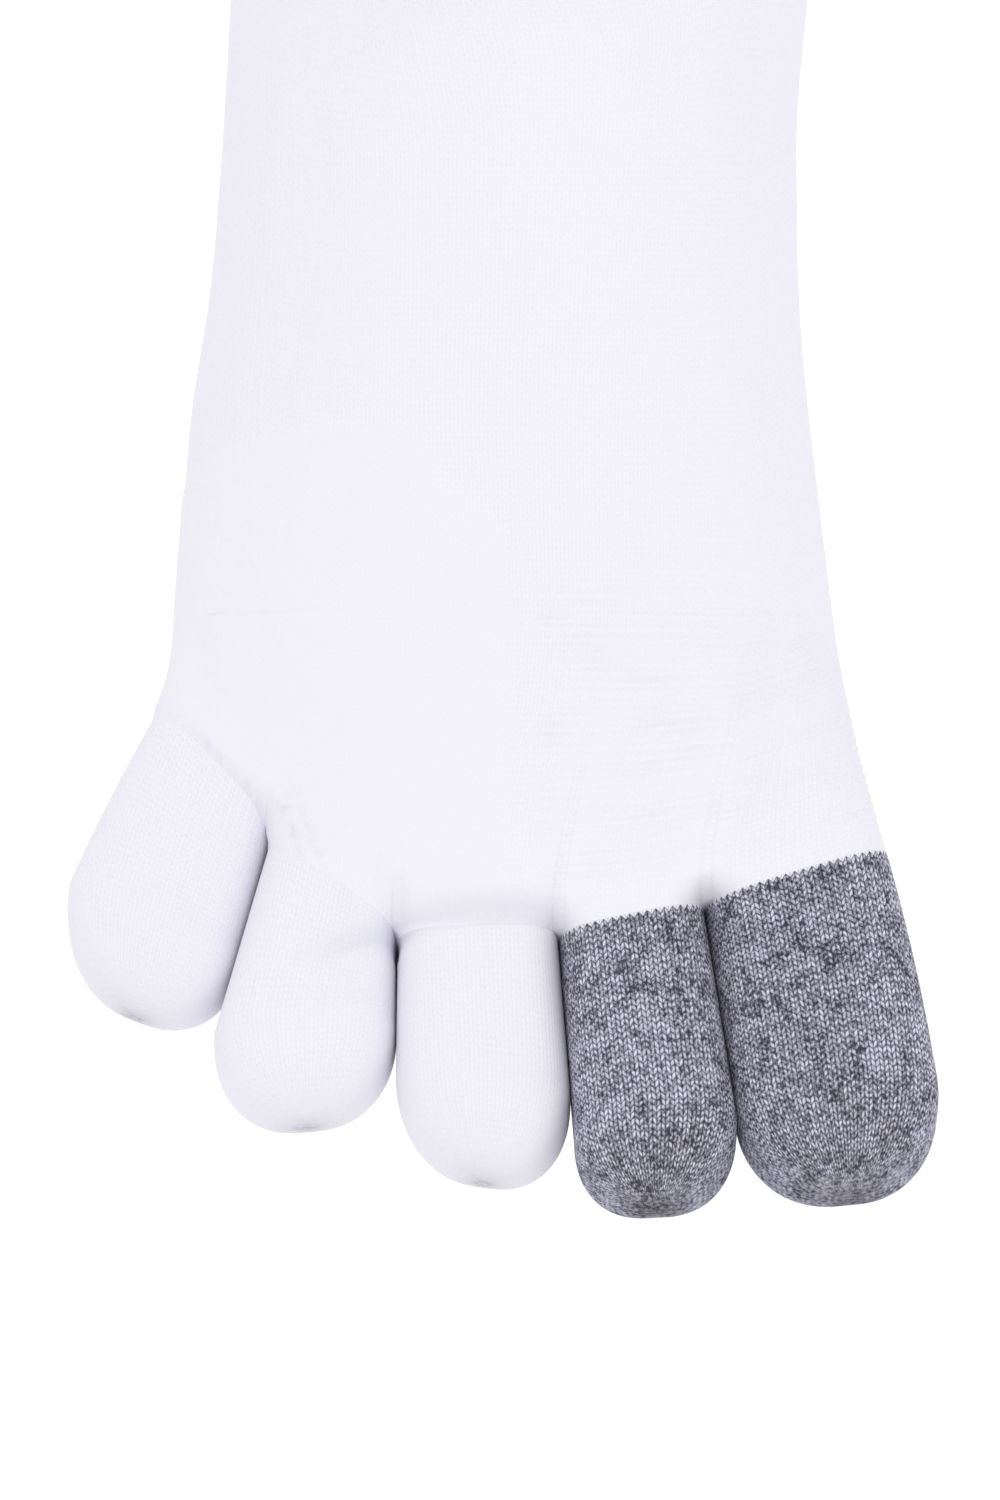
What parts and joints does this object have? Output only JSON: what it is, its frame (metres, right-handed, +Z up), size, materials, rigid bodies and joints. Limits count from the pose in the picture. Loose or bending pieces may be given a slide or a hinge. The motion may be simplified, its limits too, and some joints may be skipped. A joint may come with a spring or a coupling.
{
  "type": "toe sock",
  "caption": "Knitted toe sock for the right foot, shaped as worn: an open tube for foot and ankle, a separate pocket for each toe and a plain cuff.",
  "frame": {"origin": "where the sole of the foot stands inside the sock, under the leg", "axes": "+Z up the leg, -Y towards the toes, +X towards the big toe's side"},
  "size_m": [0.1221, 0.2605, 0.1266],
  "materials": {
    "white_knit": "fine terry-backed knit, matt",
    "cuff_knit": "turned rib knit, matt",
    "grey_knit": "heather plain knit, matt"
  },
  "bodies": {
    "root": {"foot_and_leg": "white_knit", "cuff": "cuff_knit", "big_toe": "grey_knit", "second_toe": "grey_knit", "third_toe": "white_knit", "fourth_toe": "white_knit", "little_toe": "white_knit"}
  },
  "joints": []
}
